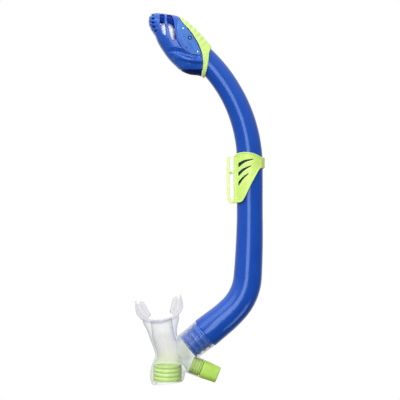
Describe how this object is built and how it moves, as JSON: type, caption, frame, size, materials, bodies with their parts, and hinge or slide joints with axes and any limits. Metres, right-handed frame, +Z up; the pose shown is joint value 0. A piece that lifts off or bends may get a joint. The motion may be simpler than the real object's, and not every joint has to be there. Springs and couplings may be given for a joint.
{
  "type": "dry-top snorkel",
  "caption": "J-shaped snorkel with a float-valve dry top, a strap keeper on the tube, and a clear swivelling mouthpiece with purge and side exhaust.",
  "frame": {"origin": "on the strap pad of the keeper, the flat face that a mask strap lies on, in the middle of its width", "axes": "+Z up along the straight stretch of the tube, +X from the mouthpiece towards the tube, Y across the tube"},
  "size_m": [0.1298, 0.0356, 0.3724],
  "materials": {
    "tube_blue": "moulded, glossy, translucent blue",
    "ferrule_blue": "moulded, glossy",
    "base_blue": "moulded",
    "hood_blue": "moulded, satin",
    "cover_blue": "moulded, satin",
    "collar_lime": "soft-touch moulded",
    "chin_navy": "moulded",
    "pin_steel": "turned",
    "float_white": "foamed",
    "arm_grey": "moulded",
    "seal_silicone": "clear silicone",
    "keeper_lime": "moulded, satin",
    "gate_lime": "moulded, satin",
    "liner_lime": "moulded",
    "chamber_silicone": "clear silicone",
    "mouth_silicone": "clear silicone",
    "purge_lime": "moulded",
    "duct_lime": "moulded",
    "cap_lime": "moulded, satin"
  },
  "bodies": {
    "keeper": {"keeper_clip": "keeper_lime", "gate_pin": "pin_steel"},
    "gate": {"strap_gate": "gate_lime"},
    "liner": {"keeper_liner": "liner_lime"},
    "tube": {"main_tube": "tube_blue", "swivel_ferrule": "ferrule_blue", "dry_top_base": "base_blue", "hood": "hood_blue", "side_cover_front": "cover_blue", "side_cover_back": "cover_blue", "collar_trim": "collar_lime", "chin_grille": "chin_navy", "splash_guard": "chin_navy", "float_pin": "pin_steel", "flap_pin": "pin_steel", "hood_stud_front": "pin_steel", "hood_stud_back": "pin_steel"},
    "float": {"float_body": "float_white", "float_arm": "arm_grey"},
    "flap": {"flap_arm": "arm_grey", "flap_seal": "seal_silicone"},
    "mouth": {"mouth_chamber": "chamber_silicone", "mouthpiece": "mouth_silicone", "purge_seat": "purge_lime", "purge_cover": "purge_lime", "exhaust_duct": "duct_lime", "exhaust_cap": "cap_lime"},
    "purge": {"purge_membrane": "seal_silicone"},
    "exhaust_valve": {"exhaust_flap": "seal_silicone"}
  },
  "joints": [
    {"name": "gate_open", "type": "hinge", "parent": "keeper", "child": "gate", "pos_m": [0.0006, 0, -0.0204], "axis": [0, 1, 0], "range_deg": [-40, 0]},
    {"name": "keeper_turn", "type": "hinge", "parent": "keeper", "child": "liner", "pos_m": [0.0158, 0, 0.0182], "axis": [0, 0, 1], "continuous": true},
    {"name": "tube_slide", "type": "slide", "parent": "liner", "child": "tube", "axis": [0, 0, 1], "range_m": [0, 0.02]},
    {"name": "mouth_swivel", "type": "hinge", "parent": "tube", "child": "mouth", "pos_m": [-0.02906, 0, -0.15238], "axis": [0.7815, 0, 0.6239], "continuous": true},
    {"name": "float_swing", "type": "hinge", "parent": "tube", "child": "float", "pos_m": [-0.0506, 0, 0.1513], "axis": [0, 1, 0], "range_deg": [0, 13.5]},
    {"name": "flap_swing", "type": "hinge", "parent": "tube", "child": "flap", "pos_m": [-0.044, 0, 0.142], "axis": [0, 1, 0], "range_deg": [-24, 0]},
    {"name": "purge_lift", "type": "slide", "parent": "mouth", "child": "purge", "axis": [0, 0, -1], "range_m": [0, 0.0015], "stiffness_N_per_m": 30, "springref_m": -0.0003},
    {"name": "exhaust_swing", "type": "hinge", "parent": "mouth", "child": "exhaust_valve", "pos_m": [-0.02059, 0, -0.18646], "axis": [0, 1, 0], "range_deg": [-35, 0], "stiffness_Nm_per_rad": 0.0002, "springref_deg": 5.73}
  ],
  "couplings": [
    {"joint": "flap_swing", "follows": "float_swing", "ratio": -1.7777}
  ]
}
